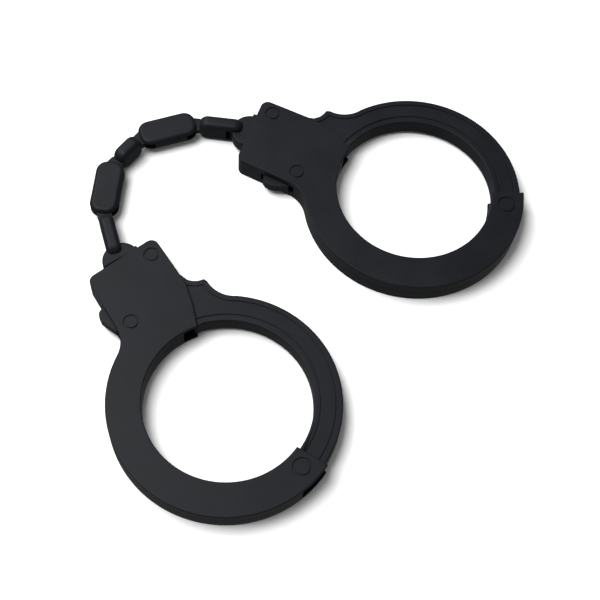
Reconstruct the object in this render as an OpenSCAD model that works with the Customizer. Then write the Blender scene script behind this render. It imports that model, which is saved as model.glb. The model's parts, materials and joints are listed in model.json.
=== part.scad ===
// Handcuffs with a five-link chain. Each cuff has two case halves that hold the toothed strand,
// the release lever with its pawl, and the swivel that carries the chain.

/* [Cuff] */
// Radius of the closed wrist opening
wrist_r = 30; // [29:0.5:31]
// Thickness of a cuff, and height of the links that stand on edge
thickness = 10; // [10:0.1:11]
// Outer radius of the cheeks
cheek_r = 42.5; // [42.3:0.1:42.8]
// Outer radius of the strand
strand_r = 41.3; // [41.2:0.1:41.4]
// Thickness of the strand
strand_h = 7.2; // [7:0.1:7.2]
// Height of the lock's end face above the centre of the wrist opening
lock_end = 68.2; // [68.2:0.1:69]

/* [Chain] */
// Distance between the two pins of a link
link_pitch = 18.9; // [18.5:0.1:19.5]
// Width of a link laid flat
link_w = 11; // [10.6:0.1:11.4]
// Thickness of a link
link_t = 5.6; // [5.4:0.1:5.6]
// Distance from a pin to the end of its link
link_end = 2; // [1.9:0.1:2.1]
// Radius of the chain pins
chain_pin_r = 1; // [0.9:0.05:1.1]

/* [Fits] */
// Radial clearance of a pin, rivet or stem in the piece that turns on it
running_gap = 0.05; // [0.02:0.01:0.1]
// Gap between flat faces that slide past each other
side_gap = 0.1; // [0.08:0.01:0.2]

/* [Layout] */
// Centre of the left wrist opening, along X
left_x = -20.1; // [-30:0.1:0]
// Centre of the left wrist opening, along Y
left_y = -46.8; // [-60:0.1:-30]
// Direction from the left wrist opening to its lock, in degrees
left_heading = 133.8; // [120:0.1:150]
// Direction from the right wrist opening to its lock, in degrees
right_heading = 166; // [150:0.1:180]

/* [Hidden] */
$fn = 96;
far = 60;
mid = thickness / 2;

// A cuff is drawn with its wrist opening on the Z axis and its lock towards +Y.
strand_in_r = wrist_r + 1;
hinge = polar((strand_in_r + strand_r) / 2, -80);
hinge_rivet_r = 2.2;
hinge_head_r = 2.65;
hinge_ring_r = 3.6;
eye_r = (strand_r - strand_in_r) / 2 + 0.05;
case_rivets = [[11.4, 62.4], [-10, 44.3]];
case_rivet_r = 1.5;
case_head_r = 2.2;
case_ring_r = 3;
head_h = 1.2;
ring_depth = 0.45;
closing_swing = 4;

// Lock body: straight sides, round end corners, and a hollow fillet down to the ring
lock_left = -15.3;
lock_corner_r = 3;
lock_corners = [[-10.5, lock_end - lock_corner_r], [13.2, lock_end - lock_corner_r]];
waist_r = 12;
waist = [lock_left - waist_r, sqrt(pow(cheek_r + waist_r, 2) - pow(lock_left - waist_r, 2))];
plate_edge = [[8.1, 28.8], [11.9, 36.9], [14.9, 45.7]];
hinge_cut = [[9.4, -28.6], [13.8, -39.5]];

// Ratchet: saw teeth on an arc about the hinge
tongue_in_r = 68;
tongue_root_r = 77.8;
tongue_tip_r = 79.2;
tooth_pitch = 1.25;
tooth_start = 87;
teeth = 11;
tongue_end = 101;
pawl_lift_gap = 0.3;

// Inner end of the strand's root and outer end of its shoulder, as radii and angles about the hinge
root_in_r = 64.5;
root_end = 89.1;
shoulder_out_r = 86.4;
shoulder_end = 86;
pocket_start = 74;
pocket_gap = 0.4;

// Groove that frames a panel on both faces of the strand
panel_rim = 2.4;
panel_in_r = strand_in_r + panel_rim;
panel_out_r = strand_r - panel_rim;
groove_w = 0.6;
groove_depth = 0.4;
cusp_arcs = [[22.4, 50.5, 6.8], [33.3, 40.6, 11.3]];

// Release lever, and the nub that stands out of the lock's side
lever_pivot = [-8.6, 59.6];
lever_pin_r = 1.25;
lever_hub_r = 3.1;
lever_h = 4;
lever_room_h = lever_h + 2 * side_gap + 0.2;

// Swivel, turning about an axis along Y through the middle of the lock's end
swivel_x = 1.95;
stem_r = 2;
flange_r = 3.4;
bush_r = 3.3;
bush_h = 4.4;
boss_r = 7.3;
boss_start = lock_end + 0.15;
collar_h = 1.3;
collar_t = 7.4;
first_pin_y = 73.3;

// Links: those on edge end in a lug that turns in a slot of a flat link, or in a fork over a swivel
fork_slot_h = link_t + 0.4;
fork_slot_depth = link_end + 4.7;
lug_h = 2.6;
lug_start = 3.5;
lug_slot_h = lug_h + 2 * side_gap;
lug_slot_depth = link_end + link_t / 2 + 0.2;
link_corner_r = 4.4;
crown_corner_r = 3.5;
fork_pin_ends = [0.6, thickness - 1];
flat_pin_ends = [mid - link_t / 2 + 0.4, mid + link_t / 2 - 0.6];
chain_headings = [113, 90.5, 57.5, 24.5, 0.5];

function polar(r, a) = [r * cos(a), r * sin(a)];

// Centre of a chain pin, walked along the chain from the left swivel
first_pin = [left_x, left_y] + first_pin_y * [cos(left_heading), sin(left_heading)]
    + swivel_x * [sin(left_heading), -cos(left_heading)];
function pin_at(i) = i == 0 ? first_pin : pin_at(i - 1) + polar(link_pitch, chain_headings[i - 1]);
right_at = pin_at(5) - first_pin_y * [cos(right_heading), sin(right_heading)]
    - swivel_x * [sin(right_heading), -cos(right_heading)];

// Saw-tooth edge about the origin: steep on the side that stops the strand opening
function saw(root, tip, first, count) = [
    for (i = [0 : count - 1], p = [[root, 0], [tip, 0.1], [root + 0.1, tooth_pitch]])
        polar(p[0], first + i * tooth_pitch + p[1] * (p[1] == tooth_pitch ? 0.98 : 1))
];

module left() {
    translate([left_x, left_y, 0])
        rotate(left_heading - 90)
            children();
}

module right() {
    translate([right_at.x, right_at.y, 0])
        rotate(right_heading - 90)
            children();
}

// A link lies along X from one pin to the next
module on_chain(i) {
    at = pin_at(i - 1);
    translate([at.x, at.y, 0])
        rotate(chain_headings[i - 1])
            children();
}

module slab(z0, z1) {
    translate([0, 0, z0])
        linear_extrude(z1 - z0)
            children();
}

module sector(r0, r1, a0, a1) {
    translate(hinge)
        intersection() {
            difference() {
                circle(r = r1, $fn = 180);
                circle(r = r0, $fn = 180);
            }
            polygon([[0, 0], polar(2 * r1, a0), polar(2 * r1, a1)]);
        }
}

module lock_outline() {
    for (c = lock_corners)
        translate(c)
            circle(r = lock_corner_r);
    polygon([
        [lock_left, wrist_r], [plate_edge[2].x, wrist_r], plate_edge[2],
        [lock_corners[1].x + lock_corner_r, lock_corners[1].y], [lock_corners[1].x, lock_end],
        [lock_corners[0].x, lock_end], [-13.5, lock_corners[0].y], [lock_left, waist.y]
    ]);
}

module cheek_outline() {
    difference() {
        union() {
            circle(r = cheek_r, $fn = 180);
            lock_outline();
            polygon([waist * cheek_r / (cheek_r + waist_r), [-10, wrist_r], [-10, 50], [lock_left, waist.y]]);
        }
        circle(r = wrist_r, $fn = 180);
        translate(waist)
            circle(r = waist_r);
        polygon([
            hinge_cut[0] * 0.8, hinge_cut[0], hinge_cut[1], hinge_cut[1] * 1.2, [far, -far],
            [far, plate_edge[2].y], plate_edge[2], plate_edge[1], plate_edge[0], plate_edge[0] * 0.8
        ]);
    }
}

// Room for the strand: the eye and the strand's root at the hinge, and the tongue in the lock
module strand_room() {
    translate(hinge)
        circle(r = eye_r + 0.3);
    translate(hinge)
        polygon([
            [0, 0], polar(5.9, -175), polar(6.5, -150), polar(8.5, -125), polar(15, -101),
            polar(20, -60), polar(20, -10), polar(20, 40), polar(8.6, 66), polar(5.7, 104)
        ]);
    sector(root_in_r, tongue_tip_r + pocket_gap, pocket_start, root_end + closing_swing);
    sector(tongue_tip_r, shoulder_out_r, pocket_start, shoulder_end + closing_swing);
    sector(tongue_in_r - 0.3, tongue_tip_r + pocket_gap, pocket_start, tongue_end + closing_swing + 1);
}

// Room for the release lever, with the opening in the side wall that its nub comes out of
module lever_room() {
    difference() {
        union() {
            translate(lever_pivot)
                circle(r = lever_hub_r + 0.4);
            polygon([
                [-12.8, 42.8], [8.6, 42.8], [8.6, 50.4], [10, 52.4], [10, 54.6], [6.6, 54.6],
                [-5, 60.2], [-8.6, 61.6], [-12.8, 60]
            ]);
            polygon([[-20, 43.6], [-12, 43.6], [-12, 57.6], [-20, 57.6]]);
        }
        translate(case_rivets[1])
            circle(r = 2.3);
    }
}

module rivet_holes() {
    for (c = case_rivets)
        translate([c.x, c.y, -1])
            cylinder(r = case_rivet_r, h = thickness + 2);
    translate([hinge.x, hinge.y, -1])
        cylinder(r = hinge_rivet_r, h = thickness + 2);
    for (z = [-1, thickness - head_h], c = case_rivets)
        translate([c.x, c.y, z])
            cylinder(r = case_head_r, h = head_h + 1);
    for (z = [-1, thickness - head_h])
        translate([hinge.x, hinge.y, z])
            cylinder(r = hinge_head_r, h = head_h + 1);
    for (z = [-1, thickness - ring_depth]) {
        for (c = case_rivets)
            translate([c.x, c.y, z])
                cylinder(r = case_ring_r, h = ring_depth + 1);
        translate([hinge.x, hinge.y, z])
            cylinder(r = hinge_ring_r, h = ring_depth + 1);
    }
}

module along_swivel(y) {
    translate([swivel_x, y, mid])
        rotate([-90, 0, 0])
            children();
}

module case_half(z0, z1) {
    difference() {
        slab(z0, z1)
            cheek_outline();
        slab(mid - strand_h / 2 - side_gap, mid + strand_h / 2 + side_gap)
            strand_room();
        slab(mid - lever_room_h / 2, mid + lever_room_h / 2)
            lever_room();
        rivet_holes();
        translate([lever_pivot.x, lever_pivot.y, 1.5])
            cylinder(r = lever_pin_r, h = thickness - 3);
        along_swivel(lock_end - bush_h)
            cylinder(r = bush_r, h = bush_h + 1);
        along_swivel(lock_end - bush_h - 3.2)
            cylinder(r = flange_r + 0.4, h = 3.3);
    }
}

module upper_case() {
    color("#2f3135")
        case_half(mid, thickness);
}

module lower_case() {
    color("#2a2c30")
        case_half(0, mid);
}

// Single strand: eye at the hinge, bow, shoulder with a cusp, and the toothed tongue
module strand_outline() {
    difference() {
        union() {
            intersection() {
                difference() {
                    circle(r = strand_r, $fn = 180);
                    circle(r = strand_in_r, $fn = 180);
                }
                polygon([
                    [0, 0], hinge * 2, [far, -far], [far, far], [19.8, far], [7.2, 28.9]
                ]);
            }
            translate(hinge)
                circle(r = eye_r);
            shoulder();
            sector(tongue_in_r, tongue_root_r, 80, tongue_end);
            translate(hinge)
                polygon(concat(
                    [polar(tongue_in_r + 4, tooth_start + teeth * tooth_pitch), polar(tongue_in_r + 4, tooth_start)],
                    saw(tongue_root_r - 0.05, tongue_tip_r, tooth_start, teeth)
                ));
        }
        translate(hinge)
            circle(r = hinge_rivet_r + running_gap);
        cusp_cuts(0);
    }
}

module shoulder() {
    difference() {
        polygon([[26, 24], [26.4, 31.8], [21.6, 43.6], [17, 49.9], [15.4, 49.9], [8.4, 31.5]]);
        circle(r = strand_in_r, $fn = 180);
    }
}

// The two hollow arcs that meet in the strand's cusp, grown by a distance
module cusp_cuts(grow) {
    for (a = cusp_arcs)
        translate([a.x, a.y])
            circle(r = a.z + grow);
}

// Outline of the panel, moved out by a distance
module panel_outline(out) {
    cusp_at = [cusp_arcs[1].x, cusp_arcs[1].y];
    meeting = (panel_out_r + out - 0.05) * cusp_at / norm(cusp_at);
    corner = [20.4, 41.8] + out * cusp_at / norm(cusp_at);
    difference() {
        union() {
            circle(r = panel_out_r + out, $fn = 180);
            polygon([[8, 28], meeting, corner, [17, far], [8, far]]);
        }
        circle(r = panel_in_r - out, $fn = 180);
        cusp_cuts(panel_rim - out);
        polygon([
            [0, 0], [6.8, 23.7], [7.9, 30.5], [12.3, 42], [15.9, 52],
            [0, far], [-far, 0], [-far, -far], hinge * 2
        ]);
    }
}

module strand() {
    color("#2c2e32")
        difference() {
            slab(mid - strand_h / 2, mid + strand_h / 2)
                strand_outline();
            for (z = [mid - strand_h / 2 - 1, mid + strand_h / 2 - groove_depth])
                slab(z, z + 1 + groove_depth)
                    difference() {
                        panel_outline(groove_w / 2);
                        panel_outline(-groove_w / 2);
                    }
        }
}

module rivet(c, shaft_r, head_r) {
    translate([c.x, c.y, 0]) {
        cylinder(r = shaft_r, h = thickness);
        for (z = [0, thickness - head_h])
            translate([0, 0, z])
                cylinder(r = head_r, h = head_h);
    }
}

module hinge_rivet() {
    color("#2f3135")
        rivet(hinge, hinge_rivet_r, hinge_head_r);
}

module case_rivet_set() {
    color("#2f3135")
        for (c = case_rivets)
            rivet(c, case_rivet_r, case_head_r);
}

// Bell crank: the nub is pressed in, and the pawl lifts off the teeth
module lever_outline() {
    difference() {
        union() {
            translate(lever_pivot)
                circle(r = lever_hub_r);
            polygon([
                [-8, 60], [-11.2, 58], [-14.2, 56.6], [-16.4, 56], [-17.5, 54.6], [-17.9, 52.3], [-17.2, 49.4],
                [-15.9, 45.6], [-15.2, 45.6], [-14.2, 49.5], [-11.2, 52.5], [-6.9, 57]
            ]);
            polygon([[-9.5, 56.7], [-2.6, 42], [3.2, 42], [2.8, 47.4], [-6.4, 61.8]]);
        }
        translate(lever_pivot)
            circle(r = lever_pin_r + running_gap);
        translate(hinge)
            circle(r = tongue_tip_r + pawl_lift_gap, $fn = 180);
        translate(hinge)
            polygon(concat([[0, 0]], saw(
                tongue_tip_r + pawl_lift_gap, tongue_tip_r + pawl_lift_gap + 1.1, tooth_start + 4 * tooth_pitch, 6
            )));
    }
}

module release_lever() {
    color("#26282b")
        slab(mid - lever_h / 2, mid + lever_h / 2)
            lever_outline();
}

module lever_pin() {
    color("silver")
        translate([lever_pivot.x, lever_pivot.y, 1.5])
            cylinder(r = lever_pin_r, h = thickness - 3);
}

// Leaf spring bent from strip, held in a slot of the case and resting on the back of the pawl
module pawl_spring() {
    color("silver")
        slab(mid - 1.6, mid + 1.6)
            polygon([
                [9.4, 52.6], [9.9, 52.6], [9.9, 54.4], [6.9, 54.4], [2.3, 48.5], [2.7, 48.2], [7.2, 53.9], [9.4, 53.9]
            ]);
}

module swivel_bush() {
    color("#b08d57")
        along_swivel(lock_end - bush_h)
            difference() {
                cylinder(r = bush_r, h = bush_h);
                translate([0, 0, -1])
                    cylinder(r = stem_r + running_gap, h = bush_h + 2);
            }
}

module swivel() {
    color("#2a2c30") {
        along_swivel(lock_end - bush_h - 2.9)
            cylinder(r = flange_r, h = 2.8);
        along_swivel(lock_end - bush_h - 0.2)
            cylinder(r = stem_r, h = bush_h + 0.5);
        slab(mid - collar_t / 2, mid + collar_t / 2)
            translate([swivel_x - boss_r, boss_start])
                square([2 * boss_r, collar_h]);
        difference() {
            slab(mid - link_t / 2, mid + link_t / 2)
                intersection() {
                    translate([swivel_x, boss_start])
                        circle(r = boss_r);
                    translate([swivel_x - boss_r, boss_start])
                        square([2 * boss_r, 2 * boss_r]);
                }
            translate([swivel_x, first_pin_y, 0])
                cylinder(r = chain_pin_r + running_gap, h = thickness, $fn = 48);
        }
    }
}

// Rounded rectangle from x0 to x1, even about the X axis
module link_outline(x0, x1, width, corner_r) {
    for (x = [x0 + corner_r, x1 - corner_r], y = [-1, 1] * (width / 2 - corner_r))
        translate([x, y])
            circle(r = corner_r, $fn = 64);
    translate([x0 + corner_r, -width / 2])
        square([x1 - x0 - 2 * corner_r, width]);
    translate([x0, corner_r - width / 2])
        square([x1 - x0, width - 2 * corner_r]);
}

module pin_hole(x, r, top) {
    translate([x, 0, -1])
        cylinder(r = r, h = top + 1, $fn = 48);
}

// A slot through the whole width of a link, in from its end at x towards dir
module end_slot(x, dir, depth, height) {
    translate([dir > 0 ? x - 1 : x - depth, -link_w, mid - height / 2])
        cube([depth + 1, 2 * link_w, height]);
}

module flat_link() {
    color("#2e3034")
        difference() {
            slab(mid - link_t / 2, mid + link_t / 2)
                link_outline(-link_end, link_pitch + link_end, link_w, link_corner_r);
            end_slot(-link_end, 1, lug_slot_depth, lug_slot_h);
            end_slot(link_pitch + link_end, -1, lug_slot_depth, lug_slot_h);
            for (x = [0, link_pitch])
                pin_hole(x, chain_pin_r, flat_pin_ends[1]);
        }
}

// Lug about a pin at x that runs into a link on edge towards dir
module lug(x, dir) {
    slab(mid - lug_h / 2, mid + lug_h / 2) {
        translate([x, 0])
            circle(r = link_t / 2);
        translate([dir > 0 ? x : x - lug_start - 2, -link_t / 2])
            square([lug_start + 2, link_t]);
    }
}

module edge_link(fork_first, fork_last) {
    x0 = fork_first ? -link_end : lug_start;
    x1 = link_pitch + (fork_last ? link_end : -lug_start);
    color("#26282b")
        difference() {
            union() {
                translate([0, link_t / 2, mid])
                    rotate([90, 0, 0])
                        linear_extrude(link_t)
                            link_outline(x0, x1, thickness, crown_corner_r);
                if (!fork_first) lug(0, 1);
                if (!fork_last) lug(link_pitch, -1);
            }
            if (fork_first) end_slot(x0, 1, fork_slot_depth, fork_slot_h);
            if (fork_last) end_slot(x1, -1, fork_slot_depth, fork_slot_h);
            if (fork_first) pin_hole(0, chain_pin_r, fork_pin_ends[1]);
            if (fork_last) pin_hole(link_pitch, chain_pin_r, fork_pin_ends[1]);
            if (!fork_first) pin_hole(0, chain_pin_r + running_gap, thickness);
            if (!fork_last) pin_hole(link_pitch, chain_pin_r + running_gap, thickness);
        }
}

module chain_pin(i, ends) {
    at = pin_at(i - 1);
    color("silver")
        translate([at.x, at.y, ends[0]])
            cylinder(r = chain_pin_r, h = ends[1] - ends[0], $fn = 48);
}

left() upper_case();  // left_upper_case
left() lower_case();  // left_lower_case
left() strand();  // left_strand
left() hinge_rivet();  // left_hinge_rivet
left() case_rivet_set();  // left_case_rivets
left() release_lever();  // left_release_lever
left() lever_pin();  // left_lever_pin
left() pawl_spring();  // left_pawl_spring
left() swivel();  // left_swivel
left() swivel_bush();  // left_swivel_bush
on_chain(1) edge_link(true, false);  // link_1
on_chain(2) flat_link();  // link_2
on_chain(3) edge_link(false, false);  // link_3
on_chain(4) flat_link();  // link_4
on_chain(5) edge_link(false, true);  // link_5
chain_pin(1, fork_pin_ends);  // chain_pin_1
chain_pin(2, flat_pin_ends);  // chain_pin_2
chain_pin(3, flat_pin_ends);  // chain_pin_3
chain_pin(4, flat_pin_ends);  // chain_pin_4
chain_pin(5, flat_pin_ends);  // chain_pin_5
chain_pin(6, fork_pin_ends);  // chain_pin_6
right() upper_case();  // right_upper_case
right() lower_case();  // right_lower_case
right() strand();  // right_strand
right() hinge_rivet();  // right_hinge_rivet
right() case_rivet_set();  // right_case_rivets
right() release_lever();  // right_release_lever
right() lever_pin();  // right_lever_pin
right() pawl_spring();  // right_pawl_spring
right() swivel();  // right_swivel
right() swivel_bush();  // right_swivel_bush
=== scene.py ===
import json
from math import cos, pi, radians, sin

import bmesh
import bpy
from mathutils import Matrix, Vector


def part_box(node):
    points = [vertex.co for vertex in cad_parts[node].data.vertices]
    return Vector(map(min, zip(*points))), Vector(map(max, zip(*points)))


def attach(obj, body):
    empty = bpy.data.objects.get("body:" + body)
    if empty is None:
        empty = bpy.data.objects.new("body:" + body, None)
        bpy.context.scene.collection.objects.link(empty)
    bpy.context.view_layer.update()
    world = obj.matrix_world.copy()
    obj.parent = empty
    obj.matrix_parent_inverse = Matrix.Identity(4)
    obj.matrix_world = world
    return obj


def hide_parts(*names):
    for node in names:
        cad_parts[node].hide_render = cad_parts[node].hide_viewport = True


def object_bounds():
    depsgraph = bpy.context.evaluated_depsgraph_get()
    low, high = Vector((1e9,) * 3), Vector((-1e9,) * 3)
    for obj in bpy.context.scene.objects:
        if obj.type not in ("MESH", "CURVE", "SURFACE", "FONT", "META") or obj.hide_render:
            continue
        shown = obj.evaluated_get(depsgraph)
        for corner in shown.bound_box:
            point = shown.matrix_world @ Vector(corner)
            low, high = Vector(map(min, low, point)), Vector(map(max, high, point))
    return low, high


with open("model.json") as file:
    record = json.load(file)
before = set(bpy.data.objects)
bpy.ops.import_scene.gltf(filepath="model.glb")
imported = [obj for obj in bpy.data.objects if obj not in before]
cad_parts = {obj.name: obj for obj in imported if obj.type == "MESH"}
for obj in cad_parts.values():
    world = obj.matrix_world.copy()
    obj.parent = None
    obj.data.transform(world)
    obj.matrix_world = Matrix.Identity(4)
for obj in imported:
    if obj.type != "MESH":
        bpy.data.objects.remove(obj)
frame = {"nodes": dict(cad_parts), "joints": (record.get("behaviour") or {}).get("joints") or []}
cad_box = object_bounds()
MM = 0.001
SIDES = ("left", "right")
joint_at = {j["name"]: Vector(j["pos_m"]) for j in frame["joints"]}


# --- Cuff cases ---------------------------------------------------------------------------
# Each cuff's body is two moulded halves that close on each other at mid thickness: a cheek
# round the wrist and a flat lock box. They are black silicone with a soft-touch skin, and the
# rivets hold them together. Every outside edge has a small moulded round.
case_thickness = 10 * MM
parting_height = case_thickness / 2
case_edge_r = 0.39 * MM
parting_edge_r = 0.16 * MM
round_to_height = 0.3
outer_face_gap = 0.1 * MM
level_gap, weld_gap = 0.01 * MM, 0.04 * MM
flat_within, sharp_from = radians(0.3), radians(28)


def upright_height(face):
    """The height of an upright face, or 0 for a flat one."""
    levels = [v.co.z for v in face.verts]
    return max(levels) - min(levels) if abs(face.normal.z) < 0.5 else 0


def is_level(a, b):
    return abs(a.z - b.z) < level_gap


def rounded_copy(node, name, radius_of, largest, segments=3):
    """A copy of a CAD node with its outside edges rounded. radius_of(a, b, height) gives the radius of
    the edge from a to b, next to an upright face of this height."""
    source = frame["nodes"][node].data
    mesh = bpy.data.meshes.new(name)
    mesh.from_pydata([v.co for v in source.vertices], [], [list(p.vertices) for p in source.polygons])
    bm = bmesh.new()
    bm.from_mesh(mesh)
    bmesh.ops.remove_doubles(bm, verts=bm.verts, dist=weld_gap)
    bmesh.ops.dissolve_limit(bm, angle_limit=flat_within, verts=bm.verts, edges=bm.edges)
    weight = bm.edges.layers.float.new("bevel_weight_edge")
    for face in bm.faces:
        face.smooth = True
    for edge in bm.edges:
        if len(edge.link_faces) != 2 or edge.calc_face_angle(0) < sharp_from:
            continue
        edge.smooth = False
        if not edge.is_convex:
            continue
        a, b = (v.co for v in edge.verts)
        height = max(upright_height(f) for f in edge.link_faces)
        radius = radius_of(a, b, height)
        if is_level(a, b):
            radius = min(radius, round_to_height * height)
        if radius > 0:
            edge[weight] = min(1, radius / largest)
            edge.smooth = True
    bm.to_mesh(mesh)
    bm.free()
    piece = bpy.data.objects.new(name, mesh)
    bpy.context.scene.collection.objects.link(piece)
    round_over = piece.modifiers.new("moulded_round", "BEVEL")
    round_over.limit_method = "WEIGHT"
    round_over.width = largest
    round_over.segments = segments
    round_over.use_clamp_overlap = False
    round_over.loop_slide = False
    round_over.miter_outer = "MITER_SHARP"
    normals = piece.modifiers.new("flat_face_shading", "WEIGHTED_NORMAL")
    normals.keep_sharp = True
    return piece


def put(piece, body, slot, *nodes):
    """Puts a finished piece on its CAD body in place of its CAD nodes."""
    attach(piece, body)
    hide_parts(*nodes)


def linear(colour):
    """Linear RGBA of an sRGB hex colour."""
    channels = [int(colour[i:i + 2], 16) / 255 for i in (1, 3, 5)]
    return [c / 12.92 if c <= 0.04045 else ((c + 0.055) / 1.055) ** 2.4 for c in channels] + [1]


def add(material, kind, settings=None, **links):
    """Adds a node to a material: its attributes by name, its input values by name, and its links."""
    node = material.node_tree.nodes.new("ShaderNode" + kind)
    for key, value in (settings or {}).items():
        if key in node.inputs:
            node.inputs[key].default_value = value
        else:
            setattr(node, key, value)
    for key, output in links.items():
        material.node_tree.links.new(output, node.inputs[key.replace("_", " ")])
    return node


def new_material(name, settings):
    """An empty material with its shader, set from constant values."""
    material = bpy.data.materials.new(name)
    material.use_nodes = True
    material.node_tree.nodes.clear()
    shader = add(material, "BsdfPrincipled", settings)
    out = add(material, "OutputMaterial")
    material.node_tree.links.new(shader.outputs["BSDF"], out.inputs["Surface"])
    return material, shader


def ramp(node, *stops):
    """Sets a colour ramp's stops from (place, hex colour) pairs."""
    elements = node.color_ramp.elements
    while len(elements) < len(stops):
        elements.new(0.5)
    for element, (place, colour) in zip(elements, stops):
        element.position = place
        element.color = linear(colour)
    return node


# Moulded silicone with a soft-touch skin: a matt near-black that leans to blue, very slightly
# cloudy, with a fine even grain from the blasted mould and no sharp highlight.
def moulded_silicone(name, dark, light, roughness=0.5, grain_mm=0.35, cloud_mm=14):
    material, shader = new_material(name, {
        "IOR": 1.41, "Specular IOR Level": 0.15, "Sheen Weight": 0.01, "Sheen Roughness": 0.5,
    })
    place = add(material, "TexCoord").outputs["Object"]
    clouds = add(material, "TexNoise", {
        "Scale": 1000 / cloud_mm, "Detail": 4, "Roughness": 0.6,
    }, Vector=place)
    tone = ramp(add(material, "ValToRGB", Fac=clouds.outputs["Fac"]), (0.3, dark), (0.7, light))
    grain = add(material, "TexNoise", {
        "Scale": 1000 / grain_mm, "Detail": 2, "Roughness": 0.5,
    }, Vector=place)
    gloss = add(material, "MapRange", {
        "To Min": roughness - 0.05, "To Max": roughness + 0.07,
    }, Value=clouds.outputs["Fac"])
    relief = add(material, "Bump", {"Strength": 0.35, "Distance": 0.02 * MM}, Height=grain.outputs["Fac"])
    links = material.node_tree.links
    links.new(tone.outputs["Color"], shader.inputs["Base Color"])
    links.new(gloss.outputs["Result"], shader.inputs["Roughness"])
    links.new(relief.outputs["Normal"], shader.inputs["Normal"])
    return material


cuff_silicone = moulded_silicone("moulded_soft_touch_silicone", "#0c0e12", "#121519")


def case_radius(a, b, height):
    if min(a.z, b.z, case_thickness - a.z, case_thickness - b.z) < outer_face_gap:
        return case_edge_r
    on_outer_wall = height > parting_height - outer_face_gap
    return parting_edge_r if is_level(a, b) and on_outer_wall else 0


for side in SIDES:
    for half in ("upper_case", "lower_case"):
        node = f"{side}_{half}"
        case = rounded_copy(node, f"{node}_moulding", case_radius, case_edge_r)
        case.data.materials.append(cuff_silicone)
        put(case, f"{side}_cuff", "soft_touch_black", node)


# --- Single strands -----------------------------------------------------------------------
# The swinging bow: one moulding with an eye at the hinge, a shoulder that rises to a cusp, a
# grooved panel on both faces and a toothed tongue that runs into the lock. It is the same
# black silicone, over a stiff core.
strand_edge_r = 0.5 * MM
eye_r = 5.4 * MM
lock_from, lock_mouth_from, lock_mouth_slope = 60 * MM, 43.5 * MM, 0.6

for side in SIDES:
    hinge = joint_at[f"{side}_strand_hinge"]
    along = (joint_at[f"{side}_lever_pivot"] - hinge).normalized()
    across = along.cross(Vector((0, 0, 1)))

    def strand_radius(a, b, height):
        out = (a + b) / 2 - hinge
        reach = out.dot(along)
        in_lock = reach > lock_from and out.dot(across) < lock_mouth_slope * (reach - lock_mouth_from)
        in_hinge = out.xy.length < eye_r
        return 0 if in_lock or in_hinge else strand_edge_r

    node = f"{side}_strand"
    strand = rounded_copy(node, f"{node}_moulding", strand_radius, strand_edge_r)
    strand.data.materials.append(cuff_silicone)
    put(strand, node, "soft_touch_black", node)


# --- Hinge and case rivets ----------------------------------------------------------------
# Headed rivets that close the two case halves. One of them is the axle that the strand swings
# on. Their heads lie flush in the faces, each inside a sunk ring, and wear the same skin.
rivet_edge_r = 0.18 * MM


def rivet_radius(a, b, height):
    return rivet_edge_r if min(a.z, case_thickness - a.z) < outer_face_gap else 0


for side in SIDES:
    for kind in ("hinge_rivet", "case_rivets"):
        node = f"{side}_{kind}"
        rivet = rounded_copy(node, f"{node}_headed", rivet_radius, rivet_edge_r)
        rivet.data.materials.append(cuff_silicone)
        put(rivet, f"{side}_cuff", "soft_touch_black", node)


# --- Release levers, their pins and springs -----------------------------------------------
# A bell crank in each lock: the nub that a thumb presses stands out of the side wall, and its
# other arm is the pawl that holds the strand's teeth. It turns on a steel pin, and a leaf of
# spring steel strip pushes the pawl down.
nub_edge_r = 0.4 * MM
nub_from = 6.3 * MM

for side in SIDES:
    pivot = joint_at[f"{side}_lever_pivot"]
    hinge = joint_at[f"{side}_strand_hinge"]
    across = (pivot - hinge).cross(Vector((0, 0, 1))).normalized()

    def lever_radius(a, b, height):
        return nub_edge_r if max((a - pivot).dot(across), (b - pivot).dot(across)) < -nub_from else 0

    node = f"{side}_release_lever"
    lever = rounded_copy(node, f"{node}_moulding", lever_radius, nub_edge_r)
    lever.data.materials.append(cuff_silicone)
    put(lever, node, "soft_touch_black", node)


# Drawn steel wire, cut to length: bright, neutral grey, with faint lines round it.
def drawn_steel(name, colour, dark, roughness, line_mm=0.3):
    material, shader = new_material(name, {"Metallic": 1.0})
    place = add(material, "TexCoord").outputs["Object"]
    lines = add(material, "TexNoise", {"Scale": 1000 / line_mm, "Detail": 3}, Vector=place)
    tone = ramp(add(material, "ValToRGB", Fac=lines.outputs["Fac"]), (0.35, dark), (0.65, colour))
    gloss = add(material, "MapRange", {
        "To Min": roughness - 0.06, "To Max": roughness + 0.1,
    }, Value=lines.outputs["Fac"])
    relief = add(material, "Bump", {"Strength": 0.2, "Distance": 0.01 * MM}, Height=lines.outputs["Fac"])
    links = material.node_tree.links
    links.new(tone.outputs["Color"], shader.inputs["Base Color"])
    links.new(gloss.outputs["Result"], shader.inputs["Roughness"])
    links.new(relief.outputs["Normal"], shader.inputs["Normal"])
    return material


def wear(node, material):
    """Gives a CAD node, whose shape is right as it stands, its real material."""
    piece = frame["nodes"][node]
    piece.data.materials.clear()
    piece.data.materials.append(material)


pin_steel = drawn_steel("drawn_steel", "#b9bcc0", "#94989d", 0.3)
# Spring steel strip, hardened and tempered: darker, with a blue cast.
strip_steel = drawn_steel("tempered_spring_steel", "#6c7480", "#4d5560", 0.35)
for side in SIDES:
    for kind, material in (("lever_pin", pin_steel), ("pawl_spring", strip_steel)):
        wear(f"{side}_{kind}", material)


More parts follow.
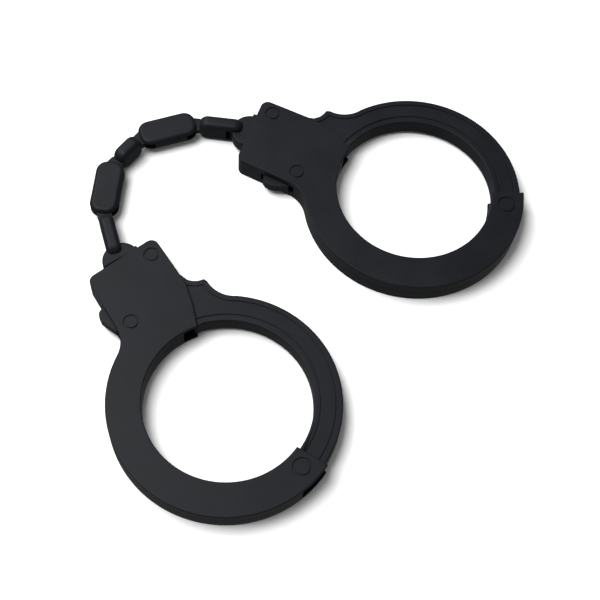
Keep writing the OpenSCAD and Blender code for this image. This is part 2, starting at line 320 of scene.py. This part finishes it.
# --- Swivels and their bushes -------------------------------------------------------------
# The D-shaped boss at the lock's end that the chain hangs from. Its stem turns in a brass bush
# pressed into the end wall, and a flange inside keeps it there.
link_silicone = moulded_silicone("moulded_silicone_links", "#0c0e12", "#121519")
boss_r, boss_thickness, boss_edge_r = 7.3 * MM, 5.6 * MM, 0.9 * MM
boss_back, collar_face, collar_overlap = 4.95 * MM, 3.65 * MM, 0.02 * MM
turning_hole_r = 1.05 * MM
not_quite_round, cut_overshoot = 0.01 * MM, 1 * MM
crease_from = radians(35)


def lozenge(length, width, thickness, corner_r, edge_r, steps=6, corner_steps=8):
    """A closed pillow about the origin: a rounded rectangle whose upper and lower edges are round."""
    bm = bmesh.new()

    def ring(inset, height):
        r = corner_r - inset
        points = []
        for turn in range(4):
            x = (length / 2 - corner_r) * (1 if turn in (0, 3) else -1)
            y = (width / 2 - corner_r) * (1 if turn < 2 else -1)
            for step in range(corner_steps + 1):
                a = pi / 2 * (turn + step / corner_steps)
                points.append(bm.verts.new((x + r * cos(a), y + r * sin(a), height)))
        return points

    angles = [pi / 2 * k / steps for k in range(steps + 1)]
    lower = [(edge_r * (1 - sin(a)), -thickness / 2 + edge_r * (1 - cos(a))) for a in angles]
    rings = [ring(*spot) for spot in lower + [(i, -z) for i, z in reversed(lower)]]
    for low, high in zip(rings, rings[1:]):
        for k in range(len(low)):
            n = (k + 1) % len(low)
            bm.faces.new((low[k], low[n], high[n], high[k]))
    bm.faces.new(list(reversed(rings[0])))
    bm.faces.new(rings[-1])
    return bm


def combine(piece, bm, operation):
    """Cuts a solid out of a piece, or joins it on, and takes the solid's own mesh away."""
    mesh = bpy.data.meshes.new("tool")
    bm.to_mesh(mesh)
    bm.free()
    tool = bpy.data.objects.new("tool", mesh)
    bpy.context.scene.collection.objects.link(tool)
    modifier = piece.modifiers.new("combine", "BOOLEAN")
    modifier.operation, modifier.solver, modifier.object = operation, "EXACT", tool
    graph = bpy.context.evaluated_depsgraph_get()
    result = bpy.data.meshes.new_from_object(piece.evaluated_get(graph))
    piece.modifiers.remove(modifier)
    piece.data = result
    bpy.data.objects.remove(tool)


def pin_hole(piece, place, x, radius, top):
    bm = bmesh.new()
    middle = (top - cut_overshoot) / 2 - parting_height
    bmesh.ops.create_cone(
        bm, cap_ends=True, segments=48, radius1=radius, radius2=radius, depth=top + cut_overshoot,
        matrix=place @ Matrix.Translation((x, 0, middle)))
    combine(piece, bm, "DIFFERENCE")


def shade(piece):
    """Smooth shading with sharp edges kept, and flat faces kept flat."""
    piece.data.polygons.foreach_set("use_smooth", [True] * len(piece.data.polygons))
    piece.data.set_sharp_from_angle(angle=crease_from)
    normals = piece.modifiers.new("flat_face_shading", "WEIGHTED_NORMAL")
    normals.keep_sharp = True


for side in SIDES:
    turn = next(j for j in frame["joints"] if j["name"] == f"{side}_swivel_turn")
    neck, outward = Vector(turn["pos_m"]), Vector(turn["axis"])
    bush_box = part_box(f"{side}_swivel_bush")
    if (neck - (bush_box[0] + bush_box[1]) / 2).dot(outward) < 0:
        outward = -outward
    place = Matrix.Translation(neck) @ outward.to_track_quat("X", "Z").to_matrix().to_4x4()
    node = f"{side}_swivel"
    swivel = frame["nodes"][node].copy()
    swivel.data = swivel.data.copy()
    swivel.name = swivel.data.name = f"{node}_moulding"
    bpy.context.scene.collection.objects.link(swivel)
    front = bmesh.new()
    ahead = Matrix.Translation((2 * boss_r - collar_face, 0, 0))
    bmesh.ops.create_cube(front, size=4 * boss_r, matrix=place @ ahead)
    combine(swivel, front, "DIFFERENCE")
    boss = lozenge(2 * boss_r, 2 * boss_r, boss_thickness, boss_r - not_quite_round, boss_edge_r, 5, 14)
    boss.transform(Matrix.Translation((-boss_back, 0, 0)))
    cut = bmesh.ops.bisect_plane(
        boss, geom=boss.verts[:] + boss.edges[:] + boss.faces[:], dist=0.001 * MM,
        plane_co=(-collar_face - collar_overlap, 0, 0), plane_no=(1, 0, 0), clear_inner=True)
    bmesh.ops.contextual_create(boss, geom=[e for e in cut["geom_cut"] if isinstance(e, bmesh.types.BMEdge)])
    bmesh.ops.recalc_face_normals(boss, faces=boss.faces)
    boss.transform(place)
    combine(swivel, boss, "UNION")
    pin_hole(swivel, place, 0, turning_hole_r, case_thickness)
    shade(swivel)
    swivel.data.materials.clear()
    swivel.data.materials.append(link_silicone)
    put(swivel, node, "soft_touch_link", node)


# Turned brass: a warm yellow metal with fine tool lines.
bush_brass = drawn_steel("turned_brass", "#c9a35c", "#a98545", 0.28, line_mm=0.2)
for side in SIDES:
    wear(f"{side}_swivel_bush", bush_brass)


# --- Chain links --------------------------------------------------------------------------
# Five moulded lozenges with big soft edges. The two flat ones have a slot in each end, and a
# lug of the link on edge turns in it. The first and last links are forked over the swivels.
link_thickness = 5.6 * MM
link_end = 2 * MM
flat_width, flat_corner_r, flat_edge_r = 11 * MM, 4.4 * MM, 1.8 * MM
crown_corner_r, crown_edge_r = 3.5 * MM, 1.9 * MM
lug_height, lug_start, lug_overlap, lug_edge_r = 2.6 * MM, 3.5 * MM, 2 * MM, 0.25 * MM
lug_slot_height, lug_slot_depth = 2.8 * MM, 5 * MM
fork_slot_height, fork_slot_depth = 6 * MM, 6.7 * MM
pressed_hole_r = 1 * MM
fork_hole_top, flat_hole_top = 9 * MM, 7.2 * MM


def end_slot(piece, place, x, inward, depth, height):
    bm = bmesh.new()
    bmesh.ops.create_cube(bm, size=1, matrix=place
                          @ Matrix.Translation((x + inward * (depth - cut_overshoot) / 2, 0, 0))
                          @ Matrix.Diagonal((depth + cut_overshoot, 2 * flat_width, height, 1)))
    combine(piece, bm, "DIFFERENCE")


pins = [(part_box(f"chain_pin_{k}")[0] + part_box(f"chain_pin_{k}")[1]) / 2 for k in range(1, 7)]
for index, (first, last) in enumerate(zip(pins, pins[1:]), 1):
    first, last = (Vector((p.x, p.y, parting_height)) for p in (first, last))
    pitch = (last - first).length
    turn = (last - first).to_track_quat("X", "Z").to_matrix().to_4x4()
    place = Matrix.Translation(first) @ turn
    on_edge = index % 2 == 1
    forked = {0: index == 1, pitch: index == 5}
    if on_edge:
        low = -link_end if forked[0] else lug_start
        high = pitch + (link_end if forked[pitch] else -lug_start)
        bm = lozenge(high - low, case_thickness, link_thickness, crown_corner_r, crown_edge_r)
        bm.transform(Matrix.Rotation(pi / 2, 4, "X"))
    else:
        low, high = -link_end, pitch + link_end
        bm = lozenge(high - low, flat_width, link_thickness, flat_corner_r, flat_edge_r)
    bm.transform(place @ Matrix.Translation(((low + high) / 2, 0, 0)))
    node = f"link_{index}"
    mesh = bpy.data.meshes.new(f"{node}_moulding")
    bm.to_mesh(mesh)
    bm.free()
    link = bpy.data.objects.new(f"{node}_moulding", mesh)
    bpy.context.scene.collection.objects.link(link)
    for x, inward in ((0, 1), (pitch, -1)):
        tip = x - inward * link_end
        if not on_edge:
            end_slot(link, place, tip, inward, lug_slot_depth, lug_slot_height)
            pin_hole(link, place, x, pressed_hole_r, flat_hole_top)
        elif forked[x]:
            end_slot(link, place, tip, inward, fork_slot_depth, fork_slot_height)
            pin_hole(link, place, x, pressed_hole_r, fork_hole_top)
        else:
            half = link_thickness / 2
            reach = half + lug_start + lug_overlap
            bm = lozenge(reach, link_thickness, lug_height, half - not_quite_round, lug_edge_r, 3)
            bm.transform(place @ Matrix.Translation((x + inward * (reach / 2 - half), 0, 0)))
            combine(link, bm, "UNION")
            pin_hole(link, place, x, turning_hole_r, case_thickness)
    shade(link)
    link.data.materials.clear()
    link.data.materials.append(link_silicone)
    put(link, node, "soft_touch_link", node)


# --- Chain pins ---------------------------------------------------------------------------
# Plain steel pins pressed in from below: the inner four into the flat links, and the outer two
# into the forks. They stop short of the upper faces, so only their lower ends show.
pin_edge_r = 0.15 * MM
for index, holder in enumerate((1, 2, 2, 4, 4, 5), 1):
    node = f"chain_pin_{index}"
    pin = rounded_copy(node, f"{node}_steel", lambda a, b, height: pin_edge_r, pin_edge_r)
    pin.data.materials.append(pin_steel)
    put(pin, f"link_{holder}", "steel_pin", node)


# --- Table, light and camera --------------------------------------------------------------
# A plain white table with a big soft light above on the left, a smaller one behind, and a dim room.
table_size = 6.0
bm = bmesh.new()
bmesh.ops.create_grid(bm, x_segments=4, y_segments=4, size=table_size / 2)
mesh = bpy.data.meshes.new("table_top")
bm.to_mesh(mesh)
bm.free()
table_top = bpy.data.objects.new("table_top", mesh)
bpy.context.scene.collection.objects.link(table_top)
table_top.location.z = cad_box[0].z - 0.02 * MM
white_paper, shader = new_material("matt_white_paper", {
    "Base Color": linear("#f4f4f4"), "Roughness": 0.9, "Specular IOR Level": 0.1,
})
table_top.data.materials.append(white_paper)
# The cuffs' skin barely mirrors the table, so it is kept out of their reflections.
table_top.visible_glossy = False

world = bpy.data.worlds.new("studio_room")
bpy.context.scene.world = world
world.use_nodes = True
world.node_tree.nodes["Background"].inputs["Color"].default_value = linear("#ffffff")
world.node_tree.nodes["Background"].inputs["Strength"].default_value = 0.25

middle = (cad_box[0] + cad_box[1]) / 2
for name, place, size, power in (
    ("overhead_softbox", (-0.4, 0.05, 0.85), 0.6, 13.0),
    ("back_softbox", (-0.5, 0.6, 0.6), 0.5, 4.0),
):
    lamp = bpy.data.lights.new(name, "AREA")
    lamp.size, lamp.energy = size, power
    light = bpy.data.objects.new(name, lamp)
    light.location = middle + Vector(place)
    light.rotation_mode = "QUATERNION"
    light.rotation_quaternion = (middle - light.location).to_track_quat("-Z", "Y")
    bpy.context.scene.collection.objects.link(light)

bpy.context.scene.view_settings.view_transform = "Standard"

target = Vector((1.38, -0.31, 0)) * MM
distance, elevation, roll = 460.42 * MM, radians(64.57), radians(6.81)
lens, film_width = 73.7, 36
back = Vector((0, -cos(elevation), sin(elevation)))
level_right, level_up = Vector((1, 0, 0)), Vector((0, sin(elevation), cos(elevation)))
right = cos(roll) * level_right + sin(roll) * level_up
up = cos(roll) * level_up - sin(roll) * level_right
camera = bpy.data.objects.new("camera", bpy.data.cameras.new("camera"))
camera.data.lens, camera.data.sensor_width = lens, film_width
facing = Matrix((right, up, back)).transposed().to_4x4()
camera.matrix_world = Matrix.Translation(target + distance * back) @ facing
bpy.context.scene.collection.objects.link(camera)
bpy.context.scene.camera = camera
